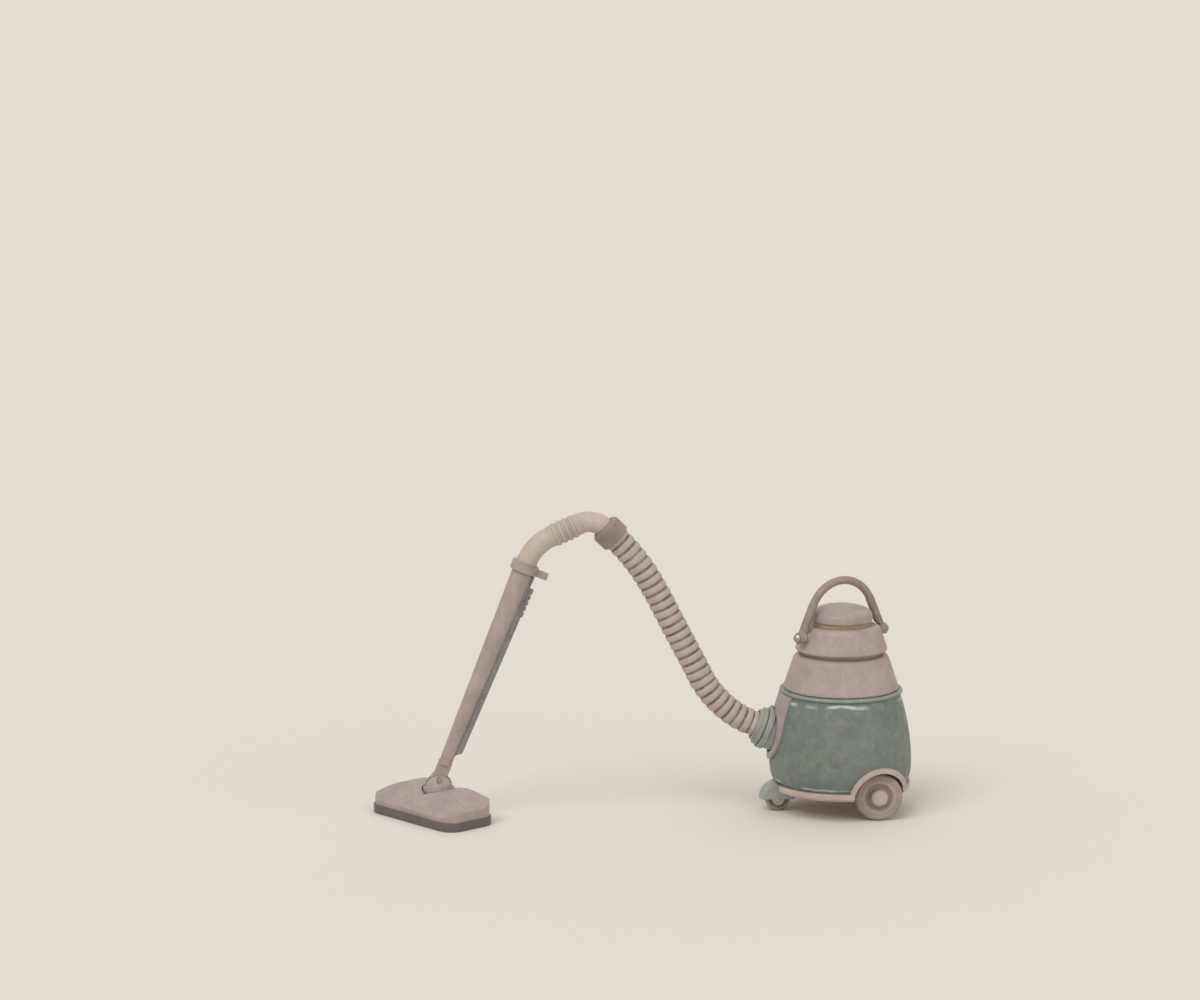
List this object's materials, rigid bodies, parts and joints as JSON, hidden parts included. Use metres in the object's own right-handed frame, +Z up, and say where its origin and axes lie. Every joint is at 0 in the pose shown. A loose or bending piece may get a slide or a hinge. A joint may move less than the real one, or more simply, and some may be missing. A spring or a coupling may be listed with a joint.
{
  "type": "toy vacuum cleaner",
  "caption": "Toy canister vacuum cleaner with a stepped round lid, swinging carry handle, wheels, hooded caster, ribbed hose, bent grip, slim wand and a turning floor head.",
  "frame": {"origin": "on the floor, under the middle of the box round the whole part", "axes": "+X from the floor head toward the canister, +Z up, +Y to the canister's right-hand side as it is pulled"},
  "size_m": [0.1462, 0.0398, 0.0831],
  "materials": {
    "teal_paint": "chalky satin paint",
    "lilac_paint": "chalky satin paint",
    "pale_trim": "satin paint",
    "rim_trim": "satin paint",
    "blue_trim": "satin moulded plastic",
    "olive_seal": "matt rubber",
    "handle_paint": "satin paint",
    "wheel_plastic": "satin moulded plastic",
    "tyre_rubber": "matt rubber",
    "hose_rubber": "matt ribbed rubber",
    "cuff_brown": "satin moulded plastic",
    "grip_cream": "satin moulded plastic",
    "strip_blue": "satin moulded plastic",
    "slide_grey": "satin moulded plastic",
    "sole_slate": "matt rubber",
    "steel": "plain steel"
  },
  "bodies": {
    "canister": {"chassis": "pale_trim", "tub": "teal_paint", "front_panel": "lilac_paint", "inlet_collar": "blue_trim", "inlet_nut": "blue_trim", "rim_bead": "rim_trim", "lid_skirt": "lilac_paint", "lower_seal": "olive_seal", "lid_hood": "lilac_paint", "upper_seal": "olive_seal", "lid_cap": "lilac_paint", "tie_rod": "steel", "handle_rivets": "steel", "left_arch_trim": "pale_trim", "right_arch_trim": "pale_trim"},
    "handle": {"carry_handle": "handle_paint"},
    "rear_wheels": {"rear_axle": "steel", "rear_wheel_left": "wheel_plastic", "rear_wheel_right": "wheel_plastic", "rear_tyre_left": "tyre_rubber", "rear_tyre_right": "tyre_rubber", "axle_caps": "pale_trim"},
    "caster": {"caster_fork": "blue_trim", "caster_axle": "steel", "caster_clip": "steel"},
    "caster_roller": {"caster_wheel": "tyre_rubber"},
    "wand": {"hose_cuff": "blue_trim", "cuff_clip": "steel", "hose": "hose_rubber", "grip_cuff": "cuff_brown", "hand_grip": "grip_cream", "wand_collar": "lilac_paint", "wand_tube": "lilac_paint", "wand_strip": "strip_blue", "wand_foot": "lilac_paint"},
    "slide": {"slide_button": "slide_grey"},
    "neck": {"neck_turret": "lilac_paint", "neck_pin": "steel", "turret_screw": "steel"},
    "head": {"head_casing": "lilac_paint", "head_sole": "sole_slate", "sole_screws": "steel"}
  },
  "joints": [
    {"name": "handle_swing", "type": "hinge", "parent": "canister", "child": "handle", "pos_m": [0.05381, 0, 0.0487], "axis": [0.8988, 0.4384, 0], "range_deg": [-70, 70]},
    {"name": "rear_axle_spin", "type": "hinge", "parent": "canister", "child": "rear_wheels", "pos_m": [0.06241, 0, 0.0064], "axis": [0, 1, 0], "continuous": true},
    {"name": "caster_swivel", "type": "hinge", "parent": "canister", "child": "caster", "pos_m": [0.03881, 0, 0.0034], "axis": [0, 0, 1], "continuous": true},
    {"name": "caster_wheel_spin", "type": "hinge", "parent": "caster", "child": "caster_roller", "pos_m": [0.03661, 0, 0.0034], "axis": [0, 1, 0], "continuous": true},
    {"name": "hose_swivel", "type": "hinge", "parent": "canister", "child": "wand", "pos_m": [0.0352, 0, 0.022], "axis": [-0.9272, 0, 0.3746], "range_deg": [-25, 25]},
    {"name": "suction_slide", "type": "slide", "parent": "wand", "child": "slide", "axis": [0.3929, 0, 0.9196], "range_m": [0, 0.003]},
    {"name": "neck_tilt", "type": "hinge", "parent": "wand", "child": "neck", "pos_m": [-0.05559, 0, 0.0103], "axis": [0, 1, 0], "range_deg": [-48, 22]},
    {"name": "head_turn", "type": "hinge", "parent": "neck", "child": "head", "pos_m": [-0.05559, 0, 0], "axis": [0, 0, 1], "range_deg": [-98, 22]}
  ]
}
